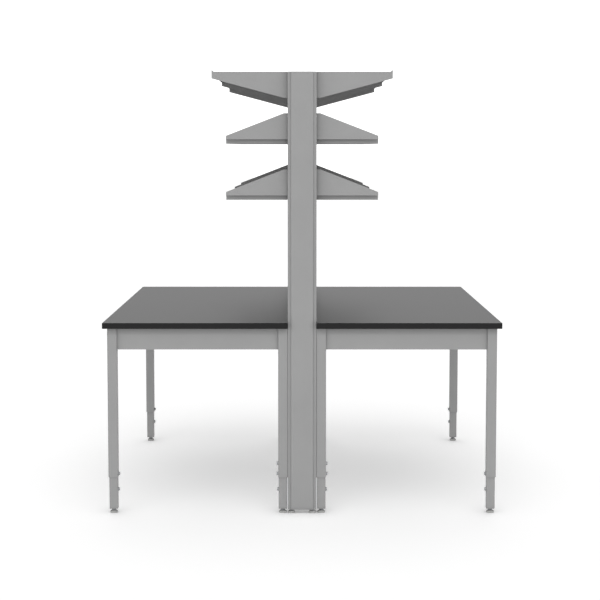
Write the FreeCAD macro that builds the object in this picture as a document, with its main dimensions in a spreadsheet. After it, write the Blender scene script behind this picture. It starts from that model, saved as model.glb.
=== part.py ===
# Double-sided laboratory bench: two tables back to back, joined to a slotted spine that carries
# three levels of reagent shelf on each side.
#
# Millimetres. +X is across the bench (right), +Y along it towards its rear end, +Z up.
# The origin is on the floor, at the middle of the bench. Right-hand and front pieces are modelled,
# and the left and rear ones are their mirror images.
import FreeCAD
import Part
import math
import os
import Sketcher

# alias, value in millimetres (or a plain count), what it measures
SIZES = [
    ("bench_length", 1829.0, "worktop along Y, 72 in"),
    ("worktop_depth", 762.0, "one worktop along X, 30 in"),
    ("worktop_thick", 24.0, "phenolic board"),
    ("worktop_height", 796.0, "top surface above the floor"),
    ("worktop_arris", 1.5, "eased edge of the board"),
    ("spine_half", 59.0, "middle of the bench to the outer face of an upright"),
    ("running_gap", 0.3, "clearance of one piece sliding on another"),
    ("sheet_thick", 1.5, "folded steel sheet"),
    ("leg_size", 40.0, "outer tube of a leg, square"),
    ("leg_wall", 1.5, "its wall"),
    ("leg_radius", 3.0, "its corner radius"),
    ("leg_bottom", 151.0, "lower end of the outer tube"),
    ("leg_outer_inset", 18.3, "outer leg face from the worktop's long edge"),
    ("leg_end_inset", 22.5, "leg face from the worktop's end"),
    ("plug_thick", 3.0, "plate that closes a tube end"),
    ("insert_size", 35.0, "telescoping insert, square"),
    ("insert_corner", 1.6, "its corner chamfer"),
    ("insert_bottom", 18.7, "lower end of the insert"),
    ("insert_length", 305.0, "its length, 12 in"),
    ("clamp_height", 164.0, "clamp bolt of the outer tube"),
    ("clamp_pitch", 43.0, "second clamp bolt of an inner leg, above the first"),
    ("stop_height", 99.0, "bolt of the insert, which stops its travel"),
    ("tie_height", 730.0, "bolt from an inner leg into the upright"),
    ("bolt_dia", 8.0, "M8 shank"),
    ("bolt_flats", 13.0, "M8 head across flats"),
    ("bolt_head", 5.3, "M8 head thickness"),
    ("washer_dia", 17.0, "M8 washer"),
    ("washer_thick", 1.6, "its thickness"),
    ("stem_dia", 10.0, "levelling stem"),
    ("stem_reach", 42.0, "stem inside the tube"),
    ("hex_flats", 17.0, "levelling hexagon across flats"),
    ("disc_high", 10.5, "foot disc, up to the hexagon"),
    ("disc_slope", 3.5, "its sloping edge"),
    ("leg_disc_dia", 33.0, "foot disc of a leg"),
    ("leg_hex_top", 16.0, "top of the hexagon of a leg foot"),
    ("spine_disc_dia", 30.0, "foot disc of an upright"),
    ("spine_hex_top", 13.5, "top of the hexagon of an upright foot"),
    ("apron_height", 88.5, "folded apron"),
    ("apron_recess", 7.0, "apron face behind the leg face"),
    ("apron_flange", 25.0, "its inward flange"),
    ("upright_size", 31.75, "slotted upright, square"),
    ("upright_corner", 1.2, "its corner chamfer"),
    ("upright_bottom", 16.0, "its lower end"),
    ("spine_height", 1819.5, "top of the uprights and of the top deck"),
    ("slot_pitch", 38.1, "slots of an upright, 1.5 in"),
    ("slot_first", 879.3, "lower edge of the lowest slot"),
    ("slot_count", 25, "slots in one upright"),
    ("slot_high", 20.0, "slot along Z"),
    ("slot_wide", 4.0, "slot along Y"),
    ("cover_width", 92.0, "end cover of the spine"),
    ("cover_depth", 6.0, "how far the cover stands proud"),
    ("cover_radius", 1.5, "its folded edges"),
    ("rail_high", 38.1, "rail between the uprights"),
    ("rail_low", 188.0, "lower edge of the lowest rail"),
    ("rail_middle", 711.0, "lower edge of the rail at worktop height"),
    ("wing_thick", 2.0, "plate of a shelf wing"),
    ("wing_flange", 25.0, "its flange, against the deck"),
    ("wing_flat", 15.5, "level stretch of a wing beside the upright"),
    ("hook_high", 8.0, "hook where it goes through the slot"),
    ("hook_drop", 8.0, "how far the hook hangs behind the wall"),
    ("hook_grip", 4.2, "hook material behind the wall"),
    ("lip_high", 7.0, "front lip above a deck"),
    ("deck_clear", 1.0, "deck from the upright"),
    ("top_reach", 309.9, "top shelf out from the upright"),
    ("top_slot", 22, "slot of its lowest hook, counted from zero"),
    ("top_rise", 101.7, "lowest hook to the top of the wing"),
    ("top_nose", 27.5, "wing at the front of the top shelf"),
    ("top_back", 105.5, "wing beside the upright"),
    ("top_fold", 10.6, "front fold below the top deck"),
    ("low_reach", 252.3, "lower shelves out from the upright"),
    ("upper_slot", 18, "slot of the middle shelf"),
    ("lower_slot", 12, "slot of the bottom shelf"),
    ("low_rise", 20.0, "deck to the lowest hook"),
    ("low_nose", 15.0, "wing at the front of a lower shelf"),
    ("low_back", 106.5, "wing beside the upright"),
    ("low_fold", 18.0, "depth of the folded pan under a lower deck"),
    ("pan_inset", 14.0, "pan end inside the wing plate"),
]

doc = FreeCAD.newDocument("reagent_bench")
sheet = doc.addObject("Spreadsheet::Sheet", "Params")
nodes = []


def fill_sheet():
    for row, (alias, value, note) in enumerate(SIZES, start=1):
        sheet.set(f"A{row}", alias)
        sheet.set(f"B{row}", str(value))
        sheet.set(f"C{row}", note)
        sheet.setAlias(f"B{row}", alias)
    doc.recompute()


def sized(text):
    """Writes {alias} in an expression as a cell of the sheet."""
    return text.replace("{", "Params.").replace("}", "")


# ---------------------------------------------------------------- sketches and features

def new_body(label):
    body = doc.addObject("PartDesign::Body", label)
    body.Label = label
    return body


def place(item, x=None, y=None, z=None):
    for axis, text in (("x", x), ("y", y), ("z", z)):
        if text is not None:
            item.setExpression(f"Placement.Base.{axis}", sized(text))
    return item


def new_sketch(body, role, name, lift=None):
    sketch = body.newObject("Sketcher::SketchObject", name)
    plane = next(item for item in body.Origin.OriginFeatures if item.Role == role)
    sketch.AttachmentSupport = [(plane, "")]
    sketch.MapMode = "FlatFace"
    if lift is not None:
        sketch.setExpression("AttachmentOffset.Base.z", sized(lift))
    return sketch


def draw_outline(sketch, corners):
    """Closed outline of straight lines; each corner is a pair of expressions."""
    count = len(corners)
    first = sketch.GeometryCount
    start = [FreeCAD.Vector(math.cos(math.tau * i / count), math.sin(math.tau * i / count), 0)
             for i in range(count)]
    for i in range(count):
        sketch.addGeometry(Part.LineSegment(start[i], start[(i + 1) % count]), False)
    for i in range(count):
        here = first + i
        after = first + (i + 1) % count
        sketch.addConstraint(Sketcher.Constraint("Coincident", here, 2, after, 1))
    for i, corner in enumerate(corners):
        for kind, now, text in (("DistanceX", start[i].x, corner[0]), ("DistanceY", start[i].y, corner[1])):
            index = sketch.addConstraint(Sketcher.Constraint(kind, first + i, 1, now))
            sketch.setExpression(f"Constraints[{index}]", sized(text))
    return sketch


def draw_rectangle(sketch, left, right, low, high):
    return draw_outline(sketch, [(left, low), (right, low), (right, high), (left, high)])


def draw_polygon(sketch, diameter, sides, x="0", y="0"):
    """Regular polygon inscribed in a circle, with a corner on the sketch's X axis."""
    corners = []
    for i in range(sides):
        angle = math.tau * i / sides
        corners.append((f"{x} + {diameter} / 2 * ({math.cos(angle):.6f})",
                        f"{y} + {diameter} / 2 * ({math.sin(angle):.6f})"))
    return draw_outline(sketch, corners)


def pad(body, sketch, length, reverse=False):
    feature = body.newObject("PartDesign::Pad", f"{sketch.Name}_pad")
    feature.Profile = sketch
    feature.Reversed = reverse
    feature.setExpression("Length", sized(length))
    sketch.Visibility = False
    doc.recompute()
    return feature


def pocket(body, sketch, length, reverse=False):
    before = body.Shape.Volume
    feature = body.newObject("PartDesign::Pocket", f"{sketch.Name}_pocket")
    feature.Profile = sketch
    feature.Reversed = reverse
    feature.setExpression("Length", sized(length))
    doc.recompute()
    if body.Shape.Volume >= before:
        raise RuntimeError(f"{feature.Name} cuts nothing")
    return feature


def dress(body, kind, size, chosen):
    """Fillets or chamfers the edges of the body's tip for which chosen(edge) holds."""
    tip = body.Tip
    names = [f"Edge{i}" for i, edge in enumerate(tip.Shape.Edges, start=1) if chosen(edge)]
    feature = body.newObject(f"PartDesign::{kind}", f"{body.Name}_{kind.lower()}")
    feature.Base = (tip, names)
    feature.setExpression("Radius" if kind == "Fillet" else "Size", sized(size))
    doc.recompute()
    return feature


def upright_edge(edge):
    """True for a straight edge along Z."""
    run = edge.Vertexes[-1].Point - edge.Vertexes[0].Point
    return run.Length > 1 and abs(run.z) > 0.999 * run.Length


def keep(item, label):
    """Makes an object one node of the bench."""
    item.Label = label
    nodes.append(item)
    return item


def mirror(source, label, across):
    """Mirror image across the plane through the origin whose normal is X or Y."""
    twin = doc.addObject("Part::Mirroring", label)
    twin.Source = source
    twin.Normal = FreeCAD.Vector(1, 0, 0) if across == "X" else FreeCAD.Vector(0, 1, 0)
    return twin


def group(label, items):
    """Separate solids that share one node."""
    compound = doc.addObject("Part::Compound", label)
    compound.Links = items
    return compound


def keep_four(source, stem):
    """The right front piece and its images at the other three corners."""
    keep(source, f"{stem}_right_front")
    rear = keep(mirror(source, f"{stem}_right_rear", "Y"), f"{stem}_right_rear")
    keep(mirror(source, f"{stem}_left_front", "X"), f"{stem}_left_front")
    keep(mirror(rear, f"{stem}_left_rear", "X"), f"{stem}_left_rear")


def keep_pair(source, stem):
    keep(source, f"{stem}_right")
    keep(mirror(source, f"{stem}_left", "X"), f"{stem}_left")


# ---------------------------------------------------------------- shared small pieces

# small round pieces are repeated many times, so they have few sides
DISC_SIDES = 20
STEM_SIDES = 12
WASHER_SIDES = 12
SHANK_SIDES = 8


def square_bar(label, size, corner, corner_size, low, high, centre="0"):
    """Square bar from low to high, its corners a Fillet or a Chamfer, ready to be bored."""
    body = new_body(label)
    section = new_sketch(body, "XY_Plane", f"{label}_section", low)
    half = f"{size} / 2"
    draw_rectangle(section, f"{centre} - {half}", f"{centre} + {half}", f"-{half}", half)
    pad(body, section, f"{high} - ({low})")
    dress(body, corner, corner_size, upright_edge)
    return body


def bore_square(body, half, lift, depth, reverse, centre="0"):
    bore = new_sketch(body, "XY_Plane", f"{body.Name}_bore", lift)
    draw_rectangle(bore, f"{centre} - ({half})", f"{centre} + {half}", f"-({half})", half)
    pocket(body, bore, depth, reverse)


def hex_bolt(label, grip, facing, x, y, z):
    """Bolt with its washer seated at x, its head outwards along facing X and its shank back by grip."""
    turn = FreeCAD.Rotation(FreeCAD.Vector(0, 1, 0), 90 * facing)
    prisms = []
    for name, sides, diameter, start, height in (
            ("washer", WASHER_SIDES, "{washer_dia}", "0", "{washer_thick}"),
            ("head", 6, "2 * {bolt_flats} / sqrt(3)", "{washer_thick}", "{bolt_head}"),
            ("shank", SHANK_SIDES, "{bolt_dia}", f"-({grip})", f"{grip} + {{washer_thick}}")):
        prism = doc.addObject("Part::Prism", f"{label}_{name}")
        prism.Polygon = sides
        prism.setExpression("Circumradius", sized(f"{diameter} / 2"))
        prism.setExpression("Height", sized(height))
        prism.Placement = FreeCAD.Placement(FreeCAD.Vector(), turn)
        prisms.append(place(prism, f"{x} + {facing} * ({start})", y, z))
    bolt = doc.addObject("Part::MultiFuse", label)
    bolt.Shapes = prisms
    return bolt


def levelling_foot(label, disc, hex_top, stem_top, x, y):
    """Levelling foot from the floor up: disc with a sloping edge, hexagon and stem."""
    body = place(new_body(label), x, y)
    for name, sides, diameter, low, high in (
            ("disc", DISC_SIDES, disc, "0", "{disc_high}"),
            ("hexagon", 6, "2 * {hex_flats} / sqrt(3)", "{disc_high}", hex_top),
            ("stem", STEM_SIDES, "{stem_dia}", hex_top, stem_top)):
        section = new_sketch(body, "XY_Plane", f"{label}_{name}", low)
        draw_polygon(section, diameter, sides)
        pad(body, section, f"{high} - ({low})")
        if name == "disc":
            dress(body, "Chamfer", "{disc_slope}", lambda edge: edge.BoundBox.ZMin > 1)
    return body


# ---------------------------------------------------------------- tables

UNDERSIDE = "({worktop_height} - {worktop_thick})"
LEG_Y = "(-{bench_length} / 2 + {leg_end_inset} + {leg_size} / 2)"
INNER_X = "({spine_half} + {leg_size} / 2)"
OUTER_X = "({spine_half} + {worktop_depth} - {leg_outer_inset} - {leg_size} / 2)"
INSERT_SHIFT = "({leg_size} / 2 - {leg_wall} - {running_gap} - {insert_size} / 2)"
# kind of leg, its middle along X, the way its bolted face looks, heights of its clamp bolts
LEGS = [
    ("inner", INNER_X, 1, ["{clamp_height}", "{clamp_height} + {clamp_pitch}"]),
    ("outer", OUTER_X, -1, ["{clamp_height}"]),
]


def worktop():
    body = place(new_body("worktop"), "{spine_half} + {worktop_depth} / 2", None, UNDERSIDE)
    plan = new_sketch(body, "XY_Plane", "worktop_plan")
    across = "{worktop_depth} / 2"
    along = "{bench_length} / 2"
    draw_rectangle(plan, f"-{across}", across, f"-{along}", along)
    pad(body, plan, "{worktop_thick}")
    dress(body, "Chamfer", "{worktop_arris}", lambda edge: edge.BoundBox.ZMin > 1 or upright_edge(edge))
    keep_pair(body, "worktop")


def leg_tube(kind, x, facing, bolt_heights, tied):
    """Outer tube of a leg; its bolts are on the face that looks along facing X."""
    body = square_bar(f"leg_tube_{kind}", "{leg_size}", "Fillet", "{leg_radius}", "{leg_bottom}", UNDERSIDE)
    place(body, x, LEG_Y)
    inside = "{leg_size} / 2 - {leg_wall}"
    bore_square(body, inside, "{leg_bottom}", f"{UNDERSIDE} - {{leg_bottom}} - {{plug_thick}}", True)
    holes = new_sketch(body, "YZ_Plane", f"leg_tube_{kind}_holes")
    for height in bolt_heights:
        draw_polygon(holes, "{bolt_dia}", SHANK_SIDES, "0", height)
    pocket(body, holes, "{leg_size}", facing > 0)
    if tied:
        tie_hole = new_sketch(body, "YZ_Plane", f"leg_tube_{kind}_tie", "-{leg_size}")
        draw_polygon(tie_hole, "{bolt_dia}", SHANK_SIDES, "0", "{tie_height}")
        pocket(body, tie_hole, "2 * {leg_size}", True)
    keep_four(body, f"leg_tube_{kind}")


def leg_insert(kind, x, facing):
    """Telescoping insert with its plugged end and its own bolt, which stops it at full retraction."""
    shift = f"{facing} * {INSERT_SHIFT}"
    top = "{insert_bottom} + {insert_length}"
    body = square_bar(f"insert_{kind}", "{insert_size}", "Chamfer", "{insert_corner}",
                      "{insert_bottom}", top, shift)
    place(body, x, LEG_Y)
    bore_square(body, "{insert_size} / 2 - {leg_wall}", top, "{insert_length} - {plug_thick}", False, shift)
    stem_hole = new_sketch(body, "XY_Plane", f"insert_{kind}_stem", "{insert_bottom}")
    draw_polygon(stem_hole, "({stem_dia} + 2 * {running_gap})", STEM_SIDES, shift)
    pocket(body, stem_hole, "2 * {plug_thick}", True)
    bolt_hole = new_sketch(body, "YZ_Plane", f"insert_{kind}_bolt_hole", shift)
    draw_polygon(bolt_hole, "{bolt_dia}", SHANK_SIDES, "0", "{stop_height}")
    pocket(body, bolt_hole, "{insert_size}", facing > 0)
    face = f"{x} + {facing} * ({{leg_size}} / 2 - {{leg_wall}} - {{running_gap}})"
    bolt = hex_bolt(f"insert_{kind}_bolt", "{leg_wall}", facing, face, LEG_Y, "{stop_height}")
    keep_four(group(f"leg_insert_{kind}", [body, bolt]), f"leg_insert_{kind}")


def leg_foot(kind, x, facing):
    centre = f"{x} + {facing} * {INSERT_SHIFT}"
    stem_top = "{insert_bottom} + {stem_reach}"
    foot = levelling_foot(f"leg_foot_{kind}", "{leg_disc_dia}", "{leg_hex_top}", stem_top, centre, LEG_Y)
    keep_four(foot, f"leg_foot_{kind}")


def folded_outline(face, inwards, low):
    """C section: web at face, flanges of apron_flange running inwards (+1 or -1)."""
    web = f"{face} + {inwards} * {{sheet_thick}}"
    rim = f"{face} + {inwards} * {{apron_flange}}"
    high = f"{low} + {{apron_height}}"
    low_sheet = f"{low} + {{sheet_thick}}"
    high_sheet = f"{high} - {{sheet_thick}}"
    return [(face, low), (rim, low), (rim, low_sheet), (web, low_sheet),
            (web, high_sheet), (rim, high_sheet), (rim, high), (face, high)]


def aprons():
    """Folded channels between the legs, under the worktop's edge, their flanges inwards."""
    low = f"{UNDERSIDE} - {{apron_height}}"
    front = place(new_body("end_apron"), f"{INNER_X} + {{leg_size}} / 2")
    section = new_sketch(front, "YZ_Plane", "end_apron_section")
    draw_outline(section, folded_outline("-{bench_length} / 2 + {leg_end_inset} + {apron_recess}", 1, low))
    pad(front, section, f"{OUTER_X} - {INNER_X} - {{leg_size}}")
    keep_pair(group("end_aprons", [front, mirror(front, "end_apron_rear", "Y")]), "end_aprons")
    sides = []
    for name, face, inwards in (("outer", f"{OUTER_X} + {{leg_size}} / 2 - {{apron_recess}}", -1),
                                ("inner", f"{INNER_X} - {{leg_size}} / 2 + {{apron_recess}}", 1)):
        body = place(new_body(f"side_apron_{name}"), None, f"-({LEG_Y}) - {{leg_size}} / 2")
        section = new_sketch(body, "XZ_Plane", f"side_apron_{name}_section")
        draw_outline(section, folded_outline(face, inwards, low))
        pad(body, section, f"2 * (-({LEG_Y}) - {{leg_size}} / 2)")
        sides.append(body)
    keep_pair(group("side_aprons", sides), "side_aprons")


def leg_bolts():
    """Clamp bolts of the outer tubes, and tie bolts from the inner legs into the uprights."""
    clamps = []
    for kind, x, facing, heights in LEGS:
        for i, height in enumerate(heights):
            face = f"{x} + {facing} * {{leg_size}} / 2"
            clamps.append(hex_bolt(f"clamp_{kind}_{i}", "{leg_wall}", facing, face, LEG_Y, height))
    grip = "{leg_size} + {leg_wall}"
    tie = hex_bolt("tie_front", grip, 1, f"{INNER_X} + {{leg_size}} / 2", LEG_Y, "{tie_height}")
    for name, items in (("leg_clamp_bolts", clamps), ("spine_tie_bolts", [tie])):
        front = group(f"{name}_right_front", items)
        right = group(f"{name}_right", [front, mirror(front, f"{name}_right_rear", "Y")])
        keep(group(name, [right, mirror(right, f"{name}_left", "X")]), name)


# ---------------------------------------------------------------- spine

UPRIGHT_X = "({spine_half} - {upright_size} / 2)"
UPRIGHT_Y = "(-{bench_length} / 2 + {leg_end_inset} + {upright_size} / 2)"


def upright(name, y, tied):
    """Square tube, plugged at both ends, with a column of slots in its outer face."""
    body = square_bar(f"upright_{name}", "{upright_size}", "Chamfer", "{upright_corner}",
                      "{upright_bottom}", "{spine_height}")
    place(body, UPRIGHT_X, y)
    bore_square(body, "{upright_size} / 2 - {leg_wall}", "{spine_height}",
                "{spine_height} - {upright_bottom} - {plug_thick}", False)
    cap = new_sketch(body, "XY_Plane", f"upright_{name}_cap", "{spine_height}")
    half = "{upright_size} / 2 - {leg_wall}"
    draw_rectangle(cap, f"-({half})", half, f"-({half})", half)
    pad(body, cap, "{plug_thick}", True)
    stem_hole = new_sketch(body, "XY_Plane", f"upright_{name}_stem", "{upright_bottom}")
    draw_polygon(stem_hole, "({stem_dia} + 2 * {running_gap})", STEM_SIDES)
    pocket(body, stem_hole, "2 * {plug_thick}", True)
    if tied:
        tie_hole = new_sketch(body, "YZ_Plane", f"upright_{name}_tie")
        draw_polygon(tie_hole, "{bolt_dia}", SHANK_SIDES, f"{LEG_Y} - {UPRIGHT_Y}", "{tie_height}")
        pocket(body, tie_hole, "{upright_size}", True)
    slot = new_sketch(body, "YZ_Plane", f"upright_{name}_slot")
    slot_half = "{slot_wide} / 2"
    draw_rectangle(slot, f"-{slot_half}", slot_half, "{slot_first}", "{slot_first} + {slot_high}")
    first = pocket(body, slot, "{upright_size}", True)
    column = body.newObject("PartDesign::LinearPattern", f"upright_{name}_slots")
    column.Originals = [first]
    column.Direction = (slot, ["V_Axis"])
    column.setExpression("Length", sized("({slot_count} - 1) * {slot_pitch}"))
    column.setExpression("Occurrences", sized("{slot_count}"))
    body.Tip = column
    doc.recompute()
    return body


def spine_foot(name, y):
    label = f"spine_foot_{name}"
    stem_top = "{upright_bottom} + {stem_reach}"
    return levelling_foot(label, "{spine_disc_dia}", "{spine_hex_top}", stem_top, UPRIGHT_X, y)


def uprights():
    keep_four(upright("front", UPRIGHT_Y, True), "upright")
    keep_pair(upright("middle", "0", False), "upright_middle")
    keep_four(spine_foot("front", UPRIGHT_Y), "upright_foot")
    keep_pair(spine_foot("middle", "0"), "upright_foot_middle")


def end_covers():
    """Folded cover with returned edges, over the gap between the two end uprights."""
    face = "-{bench_length} / 2 + {leg_end_inset}"
    body = place(new_body("end_cover"), None, face, "{upright_bottom}")
    plan = new_sketch(body, "XY_Plane", "end_cover_plan")
    draw_rectangle(plan, "-{cover_width} / 2", "{cover_width} / 2", "-{cover_depth}", "0")
    pad(body, plan, "{spine_height} - {upright_bottom}")
    dress(body, "Fillet", "{cover_radius}", lambda edge: upright_edge(edge) and edge.BoundBox.YMax < -1)
    hollow = new_sketch(body, "XZ_Plane", "end_cover_hollow")
    half = "{cover_width} / 2 - {sheet_thick}"
    height = "{spine_height} - {upright_bottom}"
    draw_rectangle(hollow, f"-({half})", half, "{sheet_thick}", f"{height} - {{sheet_thick}}")
    pocket(body, hollow, "{cover_depth} - {sheet_thick}", True)
    keep(body, "end_cover_front")
    keep(mirror(body, "end_cover_rear", "Y"), "end_cover_rear")


def spine_rails():
    """Three box rails along the bench, which join the left and right uprights and the three stations."""
    rails = []
    half = "({spine_half} - {upright_size})"
    lows = {"low": "{rail_low}", "middle": "{rail_middle}", "top": "{spine_height} - {rail_high}"}
    for name, low in lows.items():
        body = place(new_body(f"rail_{name}"), None, "{bench_length} / 2 - {leg_end_inset}")
        outer = new_sketch(body, "XZ_Plane", f"rail_{name}_section")
        draw_rectangle(outer, f"-{half}", half, low, f"{low} + {{rail_high}}")
        draw_rectangle(outer, f"-{half} + {{leg_wall}}", f"{half} - {{leg_wall}}",
                       f"{low} + {{leg_wall}}", f"{low} + {{rail_high}} - {{leg_wall}}")
        pad(body, outer, "{bench_length} - 2 * {leg_end_inset}")
        rails.append(body)
    keep(group("spine_rails", rails), "spine_rails")


# ---------------------------------------------------------------- shelves

HOOKS = 3


def shelf_height(slot):
    """Underside of the lowest hook, seated in the given slot."""
    return f"({{slot_first}} + {slot} * {{slot_pitch}} + {{running_gap}})"


def wing(label, slot, y, outline, flange_z, reach):
    """Tapered plate with three hooks in the upright's slots and a flange against the deck."""
    body = place(new_body(label), "{spine_half}", y, shelf_height(slot))
    plate = new_sketch(body, "XZ_Plane", f"{label}_plate", "-{wing_thick} / 2")
    draw_outline(plate, outline)
    pad(body, plate, "{wing_thick}")
    hooks = new_sketch(body, "XZ_Plane", f"{label}_hooks", "-{wing_thick} / 2")
    inner = "-({leg_wall} + {running_gap})"
    tip = f"{inner} - {{hook_grip}}"
    for i in range(HOOKS):
        low = f"{i} * {{slot_pitch}}"
        draw_outline(hooks, [("2 * {running_gap}", low), ("2 * {running_gap}", f"{low} + {{hook_high}}"),
                             (tip, f"{low} + {{hook_high}}"), (tip, f"{low} - {{hook_drop}}"),
                             (inner, f"{low} - {{hook_drop}}"), (inner, low)])
    pad(body, hooks, "{wing_thick}")
    flange = new_sketch(body, "XY_Plane", f"{label}_flange", flange_z)
    draw_rectangle(flange, "{wing_flat}", f"{reach} - 2 * {{wing_flat}}", "0", "{wing_flange}")
    pad(body, flange, "{wing_thick}")
    return body


def top_outline(reach, top):
    """Level along the top, deepest beside the upright, tapering to the nose."""
    return [("{running_gap}", top), ("{running_gap}", "{top_rise} - {top_back}"),
            ("{wing_flat}", "{top_rise} - {top_back}"), (reach, "{top_rise} - {top_nose}"), (reach, top)]


def low_outline(reach):
    """Level along the deck, tallest beside the upright, tapering to the nose."""
    return [("{running_gap}", "-{low_rise}"), (reach, "-{low_rise}"), (reach, "{low_nose} - {low_rise}"),
            ("{wing_flat}", "{low_back} - {low_rise}"), ("{running_gap}", "{low_back} - {low_rise}")]


def shelf_wings(name, slot, end_outline, middle_outline, flange_z, reach):
    front = wing(f"{name}_wing_front", slot, UPRIGHT_Y, end_outline, flange_z, reach)
    middle = wing(f"{name}_wing_middle", slot, "0", middle_outline, flange_z, reach)
    rear = mirror(front, f"{name}_wing_rear", "Y")
    keep_pair(group(f"{name}_wings", [front, middle, rear]), f"{name}_wings")


def top_shelf():
    """Deck with its front fold and lip in one sheet, carried on wings below it."""
    half_length = f"(-{UPRIGHT_Y} - {{wing_thick}} / 2)"
    deck = place(new_body("top_deck"), "{spine_half}", half_length, "{spine_height}")
    section = new_sketch(deck, "XZ_Plane", "top_deck_section")
    inner = "{top_reach} - {sheet_thick}"
    draw_outline(section, [
        ("{deck_clear}", "0"), (inner, "0"), (inner, "{lip_high}"), ("{top_reach}", "{lip_high}"),
        ("{top_reach}", "-{top_fold}"), (inner, "-{top_fold}"), (inner, "-{sheet_thick}"),
        ("{deck_clear}", "-{sheet_thick}")])
    pad(deck, section, f"2 * {half_length}")
    keep_pair(deck, "top_deck")
    behind_fold = "{top_reach} - {sheet_thick} - {running_gap}"
    shelf_wings("top", "{top_slot}", top_outline("{top_reach}", "{top_rise}"),
                top_outline(behind_fold, "{top_rise} - {sheet_thick}"),
                "{top_rise} - {sheet_thick} - {wing_thick}", "{top_reach}")


def low_shelf(name, slot):
    """Folded pan with a front lip, under wings that stand on it."""
    length = f"-2 * {UPRIGHT_Y} - {{wing_thick}} - 2 * {{pan_inset}}"
    top = f"{shelf_height(slot)} - {{low_rise}}"
    deck = place(new_body(f"{name}_deck"), "{spine_half}", None, f"{top} - {{low_fold}}")
    plan = new_sketch(deck, "XY_Plane", f"{name}_deck_plan")
    draw_rectangle(plan, "{deck_clear}", "{low_reach}", f"-({length}) / 2", f"({length}) / 2")
    pad(deck, plan, "{low_fold}")
    hollow = new_sketch(deck, "XY_Plane", f"{name}_deck_hollow")
    draw_rectangle(hollow, "{deck_clear} + {sheet_thick}", "{low_reach} - {sheet_thick}",
                   f"-({length}) / 2 + {{sheet_thick}}", f"({length}) / 2 - {{sheet_thick}}")
    pocket(deck, hollow, "{low_fold} - {sheet_thick}", True)
    lip = new_sketch(deck, "XY_Plane", f"{name}_deck_lip", "{low_fold}")
    draw_rectangle(lip, "{low_reach} - {sheet_thick}", "{low_reach}", f"-({length}) / 2", f"({length}) / 2")
    pad(deck, lip, "{lip_high}")
    keep_pair(deck, f"{name}_deck")
    behind_lip = "{low_reach} - {sheet_thick} - {running_gap}"
    end_outline = low_outline("{low_reach}")
    middle_outline = low_outline(behind_lip)
    shelf_wings(name, slot, end_outline, middle_outline, "-{low_rise}", "{low_reach}")


# ---------------------------------------------------------------- build, check and export

def check():
    doc.recompute()
    for item in doc.Objects:
        if "Invalid" in item.State or "Error" in item.State:
            raise RuntimeError(f"{item.Name} failed: {item.State}")
    for node in nodes:
        if node.Shape.isNull() or not node.Shape.isValid():
            raise RuntimeError(f"{node.Label} has no valid shape")


def export():
    os.makedirs("parts", exist_ok=True)
    for node in nodes:
        node.Shape.exportStep(f"parts/{node.Label}.step")


fill_sheet()
worktop()
for kind, x, facing, bolt_heights in LEGS:
    leg_tube(kind, x, facing, bolt_heights, kind == "inner")
    leg_insert(kind, x, facing)
    leg_foot(kind, x, facing)
aprons()
leg_bolts()
uprights()
end_covers()
spine_rails()
top_shelf()
low_shelf("upper", "{upper_slot}")
low_shelf("lower", "{lower_slot}")
check()
export()
print(len(nodes), "nodes")
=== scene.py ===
import bpy
import math
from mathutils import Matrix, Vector


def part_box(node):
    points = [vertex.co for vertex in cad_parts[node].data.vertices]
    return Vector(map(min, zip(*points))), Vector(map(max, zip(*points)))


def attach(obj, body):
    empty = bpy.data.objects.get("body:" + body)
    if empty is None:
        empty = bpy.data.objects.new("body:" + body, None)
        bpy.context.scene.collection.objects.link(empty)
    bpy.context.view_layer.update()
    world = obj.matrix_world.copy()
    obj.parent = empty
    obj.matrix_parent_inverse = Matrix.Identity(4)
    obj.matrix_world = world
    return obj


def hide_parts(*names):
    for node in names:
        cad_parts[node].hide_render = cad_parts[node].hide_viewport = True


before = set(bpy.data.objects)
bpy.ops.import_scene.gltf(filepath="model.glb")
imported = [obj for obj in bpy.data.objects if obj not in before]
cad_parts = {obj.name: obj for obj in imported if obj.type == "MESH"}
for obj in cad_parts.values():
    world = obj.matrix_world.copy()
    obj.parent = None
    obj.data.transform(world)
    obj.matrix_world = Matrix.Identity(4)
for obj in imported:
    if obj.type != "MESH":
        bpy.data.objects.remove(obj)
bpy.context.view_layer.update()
print("frame loaded,", len(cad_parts), "nodes")

# lengths are in metres and angles in degrees
sides = {"right": 1, "left": -1}   # which way each lies along X
ends = {"front": -1, "rear": 1}    # and along Y
aligned = 0.9                      # two directions count as the same above this cosine
sharpFold = 35                     # an edge folded by more than this counts as sharp
dressed = set()                    # the CAD nodes that a new piece stands for
facets = {                         # how many flats stand for a round
    "washer": 40, "shank": 20, "bore": 32, "cone": 48, "disc": 56, "stem": 24,
}


def clearSelection():
    if bpy.context.mode != "OBJECT":
        bpy.ops.object.mode_set(mode="OBJECT")
    bpy.ops.object.select_all(action="DESELECT")


def makeActive(piece):
    clearSelection()
    piece.select_set(True)
    bpy.context.view_layer.objects.active = piece


def startPicking(piece, kind):
    # unpicks everything, so that the caller can mark faces or edges
    makeActive(piece)
    bpy.ops.object.mode_set(mode="EDIT")
    bpy.ops.mesh.select_mode(type=kind)
    bpy.ops.mesh.select_all(action="DESELECT")
    bpy.ops.object.mode_set(mode="OBJECT")


def pickFaces(piece, *directions):
    # goes to edit mode with only the faces that look along one of the directions
    startPicking(piece, "FACE")
    for face in piece.data.polygons:
        face.select = any(face.normal.dot(Vector(way)) > aligned for way in directions)
    bpy.ops.object.mode_set(mode="EDIT")


def pickUprightEdges(piece):
    # goes to edit mode with only the edges that run along Z
    startPicking(piece, "EDGE")
    points = [vertex.co for vertex in piece.data.vertices]
    for edge in piece.data.edges:
        one, other = (points[i] for i in edge.vertices)
        edge.select = abs((one - other).normalized().z) > aligned
    bpy.ops.object.mode_set(mode="EDIT")


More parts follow.
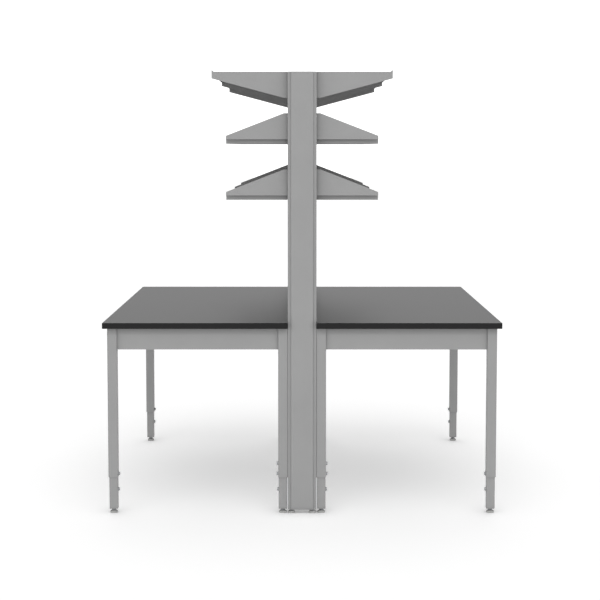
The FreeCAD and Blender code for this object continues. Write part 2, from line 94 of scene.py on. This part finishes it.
def applyPlace(piece):
    makeActive(piece)
    bpy.ops.object.transform_apply(location=True, rotation=True, scale=True)
    return piece


def addBox(name, low, high):
    clearSelection()
    low = Vector(low)
    high = Vector(high)
    bpy.ops.mesh.primitive_cube_add(size=1, location=(low + high) / 2, scale=high - low)
    piece = bpy.context.object
    piece.name = name
    return applyPlace(piece)


def addRoundedBox(name, low, high, radius, segments):
    # box whose four upright edges are rounded
    piece = addBox(name, low, high)
    pickUprightEdges(piece)
    bpy.ops.mesh.bevel(offset=radius, segments=segments, affect="EDGES")
    bpy.ops.object.mode_set(mode="OBJECT")
    return piece


def addRound(name, vertices, radius, low, high):
    # upright cylinder or prism on the Z axis, with a corner of the prism on +Y
    clearSelection()
    bpy.ops.mesh.primitive_cylinder_add(vertices=vertices, radius=radius, depth=high - low,
                                        location=(0, 0, (low + high) / 2))
    piece = bpy.context.object
    piece.name = name
    return applyPlace(piece)


def extrudeUp(height, ratio=1):
    # raises the picked faces, then widens or narrows them in plan
    bpy.ops.mesh.extrude_region_move(TRANSFORM_OT_translate={"value": (0, 0, height)})
    if ratio != 1:
        bpy.ops.transform.resize(value=(ratio, ratio, 1))


def addModifier(piece, kind, **settings):
    makeActive(piece)
    modifier = piece.modifiers.new(kind.lower(), kind)
    for key, value in settings.items():
        setattr(modifier, key, value)
    bpy.ops.object.modifier_apply(modifier=modifier.name)
    return piece


def easeEdges(piece, width, segments=2):
    return addModifier(piece, "BEVEL", width=width, segments=segments, limit_method="ANGLE",
                       angle_limit=math.radians(sharpFold))


def smoothShade(piece, degrees=sharpFold):
    # smooth over folds and rounds; the largest face at a corner decides, so flat faces stay flat
    makeActive(piece)
    bpy.ops.object.shade_smooth_by_angle(angle=math.radians(degrees))
    return addModifier(piece, "WEIGHTED_NORMAL", keep_sharp=True, weight=100)


def removePiece(piece):
    bpy.data.objects.remove(piece, do_unlink=True)


def combine(piece, tool, operation):
    # exact boolean with a tool that isn't needed afterwards
    addModifier(piece, "BOOLEAN", operation=operation, object=tool, solver="EXACT")
    removePiece(tool)
    return piece


def joinPieces(pieces, name):
    makeActive(pieces[0])
    for piece in pieces:
        piece.select_set(True)
    bpy.ops.object.join()
    joined = bpy.context.object
    joined.name = name
    return joined


def copyPiece(piece, name, place, turn=0):
    # a copy with its own mesh, turned about Z and set down at place
    makeActive(piece)
    bpy.ops.object.duplicate(linked=False)
    twin = bpy.context.object
    twin.name = name
    twin.rotation_euler.z = turn
    twin.location = place
    return applyPlace(twin)


def coat(piece, material):
    piece.data.materials.clear()
    piece.data.materials.append(material)
    return piece


def plainName(node):
    # the node's name in camel case
    first, *others = node.split("_")
    return first + "".join(word.capitalize() for word in others)


def finishPiece(piece, body, node):
    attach(piece, body)
    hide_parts(node)
    dressed.add(node)


mixFirst, mixSecond, mixResult = 6, 7, 2   # a Mix node has its colour sockets' names twice


def toLinear(hexColour):
    # sRGB written as #RRGGBB to linear red, green, blue and alpha
    channels = [int(hexColour[i:i + 2], 16) / 255 for i in (1, 3, 5)]
    return [c / 12.92 if c <= 0.04045 else ((c + 0.055) / 1.055) ** 2.4 for c in channels] + [1.0]


def addNode(tree, kind, settings=None, links=None):
    # settings: an attribute, or a socket by its name or number, and its value
    # links: a socket by its name or number, and another node's output
    node = tree.nodes.new(kind)
    for key, value in (settings or {}).items():
        if isinstance(key, int) or key in node.inputs:
            node.inputs[key].default_value = value
        else:
            setattr(node, key, value)
    for key, output in (links or {}).items():
        tree.links.new(output, node.inputs[key])
    return node


def startMaterial(name):
    material = bpy.data.materials.new(name)
    material.use_nodes = True
    material.node_tree.nodes.clear()
    return material, material.node_tree


def endMaterial(material, shader):
    addNode(material.node_tree, "ShaderNodeOutputMaterial", None, {"Surface": shader.outputs[0]})
    return material


def mottle(tree, place, look):
    # soft patches, and the finish's colour going to a duller shade by them
    patches = addNode(tree, "ShaderNodeTexNoise", {
        "Scale": 1 / look["patch"], "Detail": look["detail"]}, {"Vector": place})
    colour = addNode(tree, "ShaderNodeMix", {
        "data_type": "RGBA",
        mixFirst: toLinear(look["shade"]), mixSecond: toLinear(look["colour"])},
        {"Factor": patches.outputs["Fac"]})
    return {"patches": patches.outputs["Fac"], "colour": colour.outputs[mixResult]}


powderCoatLook = {
    "colour": "#9B9B9B",       # light grey, neutral
    "shade": "#939393",        # where the film is thinner and the grey primer shows
    "patch": 0.140, "detail": 3,
    "peel": 0.0035,            # orange peel, drawn coarser than its real 1.5 mm so that it shows
    "peelDepth": 0.00004, "peelStrength": 0.35, "peelDetail": 1,
    "roughness": 0.46, "ior": 1.5,
    # painted shade in inside corners, from ambient occlusion: how far out of them it reaches, how
    # much it darkens the paint there
    "dust": {
        "frame": {"reach": 0.03, "darkening": 0.35},
        "shelf": {"reach": 0.20, "darkening": 0.45},
        "spine": {"reach": 0.03, "darkening": 0.07},
    },
    "cornerShadeColour": "#000000",
    "cornerShadeThinning": 0.5,       # below 1 it thins out slowly away from a corner
    "cornerShadeSamples": 16,
}


def powderCoat(name, part):
    # satin polyester powder, baked on steel: soft wide highlights over a faint orange peel
    look = powderCoatLook
    dust = look["dust"][part]
    material, tree = startMaterial(name)
    place = addNode(tree, "ShaderNodeTexCoord").outputs["Object"]
    mottled = mottle(tree, place, look)
    # painted shade: the colour goes towards black where ambient occlusion finds an inside corner
    openness = addNode(tree, "ShaderNodeAmbientOcclusion", {
        "samples": look["cornerShadeSamples"], "Distance": dust["reach"]})
    depth = addNode(tree, "ShaderNodeMath", {"operation": "SUBTRACT", 0: 1},
                    {1: openness.outputs["AO"]})
    spread = addNode(tree, "ShaderNodeMath", {"operation": "POWER", 1: look["cornerShadeThinning"]},
                     {0: depth.outputs[0]})
    shadeAmount = addNode(tree, "ShaderNodeMath", {"operation": "MULTIPLY", 1: dust["darkening"]},
                      {0: spread.outputs[0]})
    shadedColour = addNode(tree, "ShaderNodeMix", {
        "data_type": "RGBA", mixSecond: toLinear(look["cornerShadeColour"])},
        {"Factor": shadeAmount.outputs[0], mixFirst: mottled["colour"]})
    peel = addNode(tree, "ShaderNodeTexNoise", {
        "Scale": 1 / look["peel"], "Detail": look["peelDetail"]}, {"Vector": place})
    bump = addNode(tree, "ShaderNodeBump", {
        "Strength": look["peelStrength"], "Distance": look["peelDepth"]},
        {"Height": peel.outputs["Fac"]})
    shader = addNode(tree, "ShaderNodeBsdfPrincipled", {
        "Roughness": look["roughness"], "IOR": look["ior"]},
        {"Base Color": shadedColour.outputs[mixResult], "Normal": bump.outputs["Normal"]})
    return endMaterial(material, shader)


phenolicLook = {
    "colour": "#131314",
    "shade": "#0D0D0E",        # darker resin between the paper fibres
    "patch": 0.009, "detail": 4,
    "grain": 0.0045,           # fine moulded grain, drawn coarser than its real 0.8 mm
    "grainDepth": 0.00006, "grainStrength": 0.3,
    "roughness": 0.42, "ior": 1.34,
}


def phenolicBoard():
    # phenolic resin board, pressed between grained plates: dull black, grey sheen at low angles
    look = phenolicLook
    material, tree = startMaterial("phenolicResinBoard")
    place = addNode(tree, "ShaderNodeTexCoord").outputs["Object"]
    mottled = mottle(tree, place, look)
    grain = addNode(tree, "ShaderNodeTexVoronoi", {"Scale": 1 / look["grain"]}, {"Vector": place})
    bump = addNode(tree, "ShaderNodeBump", {
        "Strength": look["grainStrength"], "Distance": look["grainDepth"]},
        {"Height": grain.outputs["Distance"]})
    shader = addNode(tree, "ShaderNodeBsdfPrincipled", {
        "Roughness": look["roughness"], "IOR": look["ior"]},
        {"Base Color": mottled["colour"], "Normal": bump.outputs["Normal"]})
    return endMaterial(material, shader)


zincLook = {
    "colour": "#B4B5B6",
    "shade": "#9C9EA0",        # duller patches of the passivated film
    "patch": 0.012, "detail": 3,
    "roughness": 0.45,
}
shadedZincLook = {
    "colour": "#959698",       # darker than the bolts' zinc: painted shade for the stems in shadow
    "shade": "#787A7C",
    "patch": 0.006, "detail": 3,
    "roughness": 0.5,
}


def zincPlate(name, look):
    # zinc-plated and passivated steel: pale metal, dulled in patches
    material, tree = startMaterial(name)
    place = addNode(tree, "ShaderNodeTexCoord").outputs["Object"]
    mottled = mottle(tree, place, look)
    shader = addNode(tree, "ShaderNodeBsdfPrincipled", {
        "Roughness": look["roughness"], "Metallic": 1}, {"Base Color": mottled["colour"]})
    return endMaterial(material, shader)


nylonLook = {
    "colour": "#B5B5B4",
    "shade": "#9F9F9D",        # dull marks left by the floor
    "patch": 0.006, "detail": 4,
    "scuffDepth": 0.00005, "scuffStrength": 0.2,
    "roughness": 0.5, "ior": 1.53,
}


def mouldedNylon():
    # light grey nylon, moulded in a smooth tool and scuffed by use: a soft waxy shine
    look = nylonLook
    material, tree = startMaterial("mouldedNylon")
    place = addNode(tree, "ShaderNodeTexCoord").outputs["Object"]
    mottled = mottle(tree, place, look)
    bump = addNode(tree, "ShaderNodeBump", {
        "Strength": look["scuffStrength"], "Distance": look["scuffDepth"]},
        {"Height": mottled["patches"]})
    shader = addNode(tree, "ShaderNodeBsdfPrincipled", {
        "Roughness": look["roughness"], "IOR": look["ior"]},
        {"Base Color": mottled["colour"], "Normal": bump.outputs["Normal"]})
    return endMaterial(material, shader)


# each paint carries painted shade in its inside corners, strongest on the shelves
framePowder = powderCoat("satinPowderCoat", "frame")
shelfPowder = powderCoat("cornerShadedSatinPowderCoat", "shelf")   # painted shade, wide and strong, where shelf meets spine
spinePowder = powderCoat("faintlyShadedSatinPowderCoat", "spine")   # faint painted shade on the uprights and rails
nylon = mouldedNylon()
board = phenolicBoard()
zinc = zincPlate("zincPlatedSteel", zincLook)               # bolts
shadedZinc = zincPlate("shadedZincPlate", shadedZincLook)      # levelling stems and their hexagons, painted darker for the shade they stand in
print("materials ready")


worktopMake = {"corner": 0.003, "cornerSteps": 4, "arris": 0.0016, "arrisSteps": 3}


def makeWorktop(side):
    node = f"worktop_{side}"
    low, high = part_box(node)
    piece = addRoundedBox(plainName(node), low, high, worktopMake["corner"],
                          worktopMake["cornerSteps"])
    easeEdges(piece, worktopMake["arris"], worktopMake["arrisSteps"])
    finishPiece(coat(smoothShade(piece), board), "bench_frame", node)


for side in sides:
    makeWorktop(side)
print("worktops made")


# the legs: outer tubes, the inserts that slide in them, and their bolts
tubeMake = {"corner": 0.003, "cornerSteps": 5, "wall": 0.0015, "plug": 0.003}
insertMake = {
    "size": 0.0350, "corner": 0.0026, "cornerSteps": 5, "wall": 0.0015, "plug": 0.003,
    "gap": 0.0003,                             # running gap inside the tube
    "stemHole": 0.0053, "holeReach": 0.01,     # radius, and how far the bore goes up
}
hexagonMake = {
    "flare": 2,                                # the cone's foot is this many heights wider
    "fold": 25,                                # corners stay sharp, the edge on top doesn't
}
boltMake = {
    "flats": 0.013, "head": 0.0053,
    "chamfer": 0.93,                           # the circle left on top, over the flats
    "washer": 0.017, "washerThick": 0.0016, "washerEase": 0.0003,
    "shank": 0.008, "grip": 0.0015,            # grip is how far the shank goes into the wall
}
boltHeights = {
    "clamp": {"inner": [0.164, 0.207], "outer": [0.164]},
    "tie": {"inner": [0.730], "outer": []},
    "stop": 0.099,
}


def hollowTube(name, low, high, make, openWay):
    # square tube with round corners, bored from its open end (1 top, -1 bottom) to its plug
    piece = addRoundedBox(name, low, high, make["corner"], make["cornerSteps"])
    pickFaces(piece, (0, 0, openWay))
    bpy.ops.mesh.inset(thickness=make["wall"])
    extrudeUp((high[2] - low[2] - make["plug"]) * -openWay)
    bpy.ops.object.mode_set(mode="OBJECT")
    return smoothShade(piece)


def chamferedHexagon(name, flats, low, high, chamfer):
    # hexagon whose upper corners are turned off by a cone
    reach = flats / math.sqrt(3)
    hexagon = addRound(name, 6, reach, low, high)
    clearSelection()
    bpy.ops.mesh.primitive_cone_add(vertices=facets["cone"], depth=high - low,
                                    radius1=reach + hexagonMake["flare"] * (high - low),
                                    radius2=flats / 2 * chamfer,
                                    location=(0, 0, (low + high) / 2))
    combine(hexagon, applyPlace(bpy.context.object), "INTERSECT")
    return smoothShade(hexagon, hexagonMake["fold"])


def makeBolt():
    # washer seated at the origin, head above it, shank below; then laid over to look along +X
    thick = boltMake["washerThick"]
    washer = addRound("washer", facets["washer"], boltMake["washer"] / 2, 0, thick)
    easeEdges(washer, boltMake["washerEase"])
    head = chamferedHexagon("head", boltMake["flats"], thick, thick + boltMake["head"],
                            boltMake["chamfer"])
    shank = addRound("shank", facets["shank"], boltMake["shank"] / 2, -boltMake["grip"], thick)
    bolt = joinPieces([smoothShade(washer), head, smoothShade(shank)], "boltPattern")
    bolt.rotation_euler.y = math.radians(90)
    return applyPlace(bolt)


def setBolt(bolt, name, place, facing):
    # facing is 1 or -1, the way the head looks along X
    return copyPiece(bolt, name, place, 0 if facing > 0 else math.pi)


def makeInsert(corner, face, middle, facing, bolt):
    # seat is the insert's own face under its bolt, a wall and a gap behind the tube's face
    node = f"leg_insert_{corner}"
    low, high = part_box(node)
    size = insertMake["size"]
    seat = face - facing * (tubeMake["wall"] + insertMake["gap"])
    left, right = sorted([seat, seat - facing * size])
    insert = hollowTube(plainName(node), (left, middle.y - size / 2, low.z),
                        (right, middle.y + size / 2, high.z), insertMake, 1)
    bore = addRound("bore", facets["bore"], insertMake["stemHole"],
                    low.z - insertMake["holeReach"], low.z + insertMake["holeReach"])
    bore.location = ((left + right) / 2, middle.y, 0)
    combine(insert, applyPlace(bore), "DIFFERENCE")
    stop = setBolt(bolt, "stopBolt", (seat, middle.y, boltHeights["stop"]), facing)
    insert = joinPieces([coat(insert, framePowder), stop], insert.name)
    finishPiece(insert, f"insert_{corner}", node)


def makeLeg(kind, side, end, bolt, bolts):
    # its bolts look out from the spine on an inner leg, and towards it on an outer one
    corner = f"{kind}_{side}_{end}"
    facing = sides[side] if kind == "inner" else -sides[side]
    node = f"leg_tube_{corner}"
    low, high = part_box(node)
    tube = hollowTube(plainName(node), low, high, tubeMake, -1)
    finishPiece(coat(tube, framePowder), "bench_frame", node)

    middle = (low + high) / 2
    face = middle.x + facing * (high.x - low.x) / 2
    makeInsert(corner, face, middle, facing, bolt)

    for use, copies in bolts.items():
        for height in boltHeights[use][kind]:
            copies.append(setBolt(bolt, f"{use}Bolt", (face, middle.y, height), facing))


bolt = coat(makeBolt(), zinc)
bolts = {"clamp": [], "tie": []}
for kind in ("inner", "outer"):
    for side in sides:
        for end in ends:
            makeLeg(kind, side, end, bolt, bolts)
finishPiece(joinPieces(bolts["clamp"], "legClampBolts"), "bench_frame", "leg_clamp_bolts")
finishPiece(joinPieces(bolts["tie"], "spineTieBolts"), "bench_frame", "spine_tie_bolts")
removePiece(bolt)
print("legs and bolts made")


footMake = {
    "rim": 0.0070, "slope": 0.0035,            # the disc's upright edge, then 45 degrees inwards
    "ease": 0.0010, "easeSteps": 3,
    "flats": 0.017, "chamfer": 0.94,           # the hexagon
    "thread": 0.0100, "root": 0.0086, "pitch": 0.0015,
    "threadFold": 50,                          # ridges stay sharp, the end doesn't
    "sunk": 0.001,                             # the stem starts this far down in the hexagon
}
footSizes = {
    "leg": {"wide": 0.033, "hexagonTop": 0.016, "top": 0.0605},
    "spine": {"wide": 0.030, "hexagonTop": 0.0135, "top": 0.0578},
}


def threadedStem(low, high):
    # ridges and roots extruded one after the other, up from the hexagon
    half = footMake["pitch"] / 2
    grow = footMake["thread"] / footMake["root"]
    stem = addRound("stem", facets["stem"], footMake["root"] / 2, low, low + half)
    pickFaces(stem, (0, 0, 1))
    for ridge in range(int((high - low) / footMake["pitch"])):
        extrudeUp(half, grow)
        extrudeUp(half, 1 / grow)
    bpy.ops.object.mode_set(mode="OBJECT")
    return smoothShade(stem, footMake["threadFold"])


def makeFoot(name, wide, hexagonTop, top):
    # nylon disc, zinc-plated hexagon and threaded stem; on the Z axis, standing at zero
    slope = footMake["slope"]
    disc = addRound(name, facets["disc"], wide / 2, 0, footMake["rim"])
    pickFaces(disc, (0, 0, 1))
    extrudeUp(slope, 1 - 2 * slope / wide)
    bpy.ops.object.mode_set(mode="OBJECT")
    easeEdges(disc, footMake["ease"], footMake["easeSteps"])
    coat(smoothShade(disc), nylon)
    hexagon = chamferedHexagon("hexagon", footMake["flats"], footMake["rim"] + slope, hexagonTop,
                               footMake["chamfer"])
    stem = threadedStem(hexagonTop - footMake["sunk"], top)
    return joinPieces([disc, coat(hexagon, shadedZinc), coat(stem, shadedZinc)], name)


def setFoot(pattern, node, body):
    low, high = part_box(node)
    place = ((low.x + high.x) / 2, (low.y + high.y) / 2, 0)
    finishPiece(copyPiece(pattern, plainName(node), place), body, node)


legFoot = makeFoot("legFootPattern", **footSizes["leg"])
spineFoot = makeFoot("spineFootPattern", **footSizes["spine"])
for side in sides:
    for end in ends:
        for kind in ("inner", "outer"):
            corner = f"{kind}_{side}_{end}"
            setFoot(legFoot, f"leg_foot_{corner}", f"foot_{corner}")
        setFoot(spineFoot, f"upright_foot_{side}_{end}", f"foot_upright_{side}_{end}")
    setFoot(spineFoot, f"upright_foot_middle_{side}", f"foot_upright_middle_{side}")
removePiece(legFoot)
removePiece(spineFoot)
print("feet made")


# folded sheet: the aprons, end covers and decks
sheetMake = {
    "thick": 0.0015, "bend": 0.0022, "bendSteps": 4,
    "flange": 0.025,                           # depth of an apron's channel
    "lip": 0.007, "hem": 0.0005,               # a deck's free edge above its sheet, and its ease
    "lipDrop": 0.004,                          # the lip overlaps the side of a low pan
    "lipRaise": 0.001,                         # and stops short of the top sheet's lower edge
}


def foldedSheet(name, low, high, *openWays):
    # box opened on some sides, its folds rounded, with the sheet's thickness inwards
    piece = addBox(name, low, high)
    pickFaces(piece, *openWays)
    bpy.ops.mesh.delete(type="FACE")
    bpy.ops.mesh.select_mode(type="EDGE")
    bpy.ops.mesh.select_all(action="SELECT")
    bpy.ops.mesh.region_to_loop()
    bpy.ops.mesh.select_all(action="INVERT")
    bpy.ops.mesh.bevel(offset=sheetMake["bend"], segments=sheetMake["bendSteps"], affect="EDGES")
    bpy.ops.object.mode_set(mode="OBJECT")
    addModifier(piece, "SOLIDIFY", thickness=sheetMake["thick"], offset=-1, use_even_offset=True)
    return smoothShade(piece)


def makeAprons(node, axis):
    # a channel at both ends of the node along one axis (0 X, 1 Y), open inwards and at its ends
    low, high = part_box(node)
    inwards = Vector((1, 0, 0)) if axis == 0 else Vector((0, 1, 0))
    along = Vector((0, 1, 0)) if axis == 0 else Vector((1, 0, 0))
    nearHigh = high.copy()
    nearHigh[axis] = low[axis] + sheetMake["flange"]
    farLow = low.copy()
    farLow[axis] = high[axis] - sheetMake["flange"]
    channels = [
        foldedSheet(f"{node}_near", low, nearHigh, inwards, along, -along),
        foldedSheet(f"{node}_far", farLow, high, -inwards, along, -along),
    ]
    aprons = coat(joinPieces(channels, plainName(node)), framePowder)
    finishPiece(aprons, "bench_frame", node)


def makeCover(end):
    node = f"end_cover_{end}"
    low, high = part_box(node)
    cover = foldedSheet(plainName(node), low, high, (0, -ends[end], 0))
    finishPiece(coat(cover, framePowder), "bench_frame", node)


def frontLip(name, side, reach, length, low, high):
    # doubled strip along the deck's free edge, with an eased top
    left, right = sorted([sides[side] * reach, sides[side] * (reach - sheetMake["thick"])])
    lip = addBox(name, (left, -length / 2, low), (right, length / 2, high))
    return smoothShade(easeEdges(lip, sheetMake["hem"]))


def makeDeck(level, side):
    # the top sheet is open below, at its ends and at the spine; a low pan only below
    node = f"{level}_deck_{side}"
    low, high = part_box(node)
    sheetTop = high.z - sheetMake["lip"]
    openWays = [(0, 0, -1)]
    lipLow = sheetTop - sheetMake["lipDrop"]
    if level == "top":
        openWays += [(-sides[side], 0, 0), (0, 1, 0), (0, -1, 0)]
        lipLow = low.z + sheetMake["lipRaise"]
    sheet = foldedSheet(f"{node}_sheet", low, (high.x, high.y, sheetTop), *openWays)
    reach = max(abs(low.x), abs(high.x))
    lip = frontLip(f"{node}_lip", side, reach, high.y - low.y, lipLow, high.z)
    deck = coat(joinPieces([sheet, lip], plainName(node)), shelfPowder)
    finishPiece(deck, f"shelf_{level}_{side}", node)


for side in sides:
    makeAprons(f"end_aprons_{side}", 1)
    makeAprons(f"side_aprons_{side}", 0)
    for level in ("top", "upper", "lower"):
        makeDeck(level, side)
for end in ends:
    makeCover(end)
print("aprons, covers and decks made")


# the uprights, rails and wings keep their own solids, and only get their paint
for name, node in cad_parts.items():
    if name not in dressed:
        for slot in node.material_slots:
            slot.material = shelfPowder if "wings" in name else spinePowder
print("solids painted")


cameraMake = {
    "place": (-0.0053, -7.8619, 1.5168), "tilt": 84.854, "turn": 0.028,
    "lens": 102.3, "sensor": 36,               # millimetres
    "farthest": 200,
}
floorMake = {
    "size": 150, "colour": "#F6F6F6",
    "glow": 0.42, "glowColour": "#FFFFFF",     # the paper is lit from below, as on a light table
    "contact": 0.12, "samples": 8,             # painted contact shadow: the glow fades away this close to a foot
}
domeMake = {
    "colour": "#FFFFFF", "even": 0.12,
    "ring": 0.8, "thin": 20,                   # more in a ring along the horizon, and its thinness
}
swellMake = {
    "left": {"power": 2.2, "from": (-0.95, -0.31, 0), "narrow": 30},
    "right": {"power": 2.5, "from": (0.95, -0.31, 0), "narrow": 24},
    "front": {"power": 1.78, "from": (0, -0.71, 0.71), "narrow": 6},
    "behind": {"power": 0.45, "from": (0, 1, 0), "narrow": 2},
    "behindHigh": {"power": 0.72, "from": (0, 0.71, 0.71), "narrow": 6},
}


def addCamera():
    clearSelection()
    angles = (math.radians(cameraMake["tilt"]), 0, math.radians(cameraMake["turn"]))
    bpy.ops.object.camera_add(location=cameraMake["place"], rotation=angles)
    camera = bpy.context.object
    camera.name = "studioCamera"
    camera.data.lens = cameraMake["lens"]
    camera.data.sensor_width = cameraMake["sensor"]
    camera.data.clip_end = cameraMake["farthest"]
    bpy.context.scene.camera = camera


def addFloor():
    clearSelection()
    bpy.ops.mesh.primitive_plane_add(size=floorMake["size"], location=(0, 0, 0))
    floor = bpy.context.object
    floor.name = "studioFloor"
    material, tree = startMaterial("paleFloorPaper")
    # painted contact shadow: ambient occlusion dims the glow under and beside the bench
    openness = addNode(tree, "ShaderNodeAmbientOcclusion", {
        "samples": floorMake["samples"], "Distance": floorMake["contact"]})
    glow = addNode(tree, "ShaderNodeMath", {"operation": "MULTIPLY", 1: floorMake["glow"]},
                   {0: openness.outputs["AO"]})
    paper = addNode(tree, "ShaderNodeBsdfPrincipled", {
        "Base Color": toLinear(floorMake["colour"]), "Roughness": 1, "Specular IOR Level": 0,
        "Emission Color": toLinear(floorMake["glowColour"])},
        {"Emission Strength": glow.outputs[0]})
    floor.data.materials.append(endMaterial(material, paper))


def addLights():
    # white dome, brightest along the horizon, with a few soft swells of light
    world = bpy.data.worlds.new("studioDome")
    bpy.context.scene.world = world
    world.use_nodes = True
    tree = world.node_tree
    tree.nodes.clear()
    way = addNode(tree, "ShaderNodeTexCoord").outputs["Generated"]

    # the ring is a high power of one less the height squared
    height = addNode(tree, "ShaderNodeSeparateXYZ", None, {0: way}).outputs["Z"]
    squared = addNode(tree, "ShaderNodeMath", {"operation": "MULTIPLY"}, {0: height, 1: height})
    level = addNode(tree, "ShaderNodeMath", {"operation": "SUBTRACT", 0: 1},
                    {1: squared.outputs[0]})
    ring = addNode(tree, "ShaderNodeMath", {"operation": "POWER", 1: domeMake["thin"]},
                   {0: level.outputs[0]})
    total = addNode(tree, "ShaderNodeMath", {
        "operation": "MULTIPLY_ADD", 1: domeMake["ring"], 2: domeMake["even"]},
        {0: ring.outputs[0]})

    # a swell is a high power of the cosine to the way it comes from
    for swell in swellMake.values():
        facing = addNode(tree, "ShaderNodeVectorMath", {
            "operation": "DOT_PRODUCT", 1: swell["from"]}, {0: way})
        lit = addNode(tree, "ShaderNodeMath", {"operation": "MAXIMUM", 1: 0},
                      {0: facing.outputs["Value"]})
        shaped = addNode(tree, "ShaderNodeMath", {"operation": "POWER", 1: swell["narrow"]},
                         {0: lit.outputs[0]})
        total = addNode(tree, "ShaderNodeMath", {
            "operation": "MULTIPLY_ADD", 1: swell["power"]},
            {0: shaped.outputs[0], 2: total.outputs[0]})
    dome = addNode(tree, "ShaderNodeBackground", {"Color": toLinear(domeMake["colour"])},
                   {"Strength": total.outputs[0]})
    addNode(tree, "ShaderNodeOutputWorld", None, {"Surface": dome.outputs[0]})


bpy.context.scene.view_settings.view_transform = "Standard"
addCamera()
addFloor()
addLights()
print("camera, floor and light set")
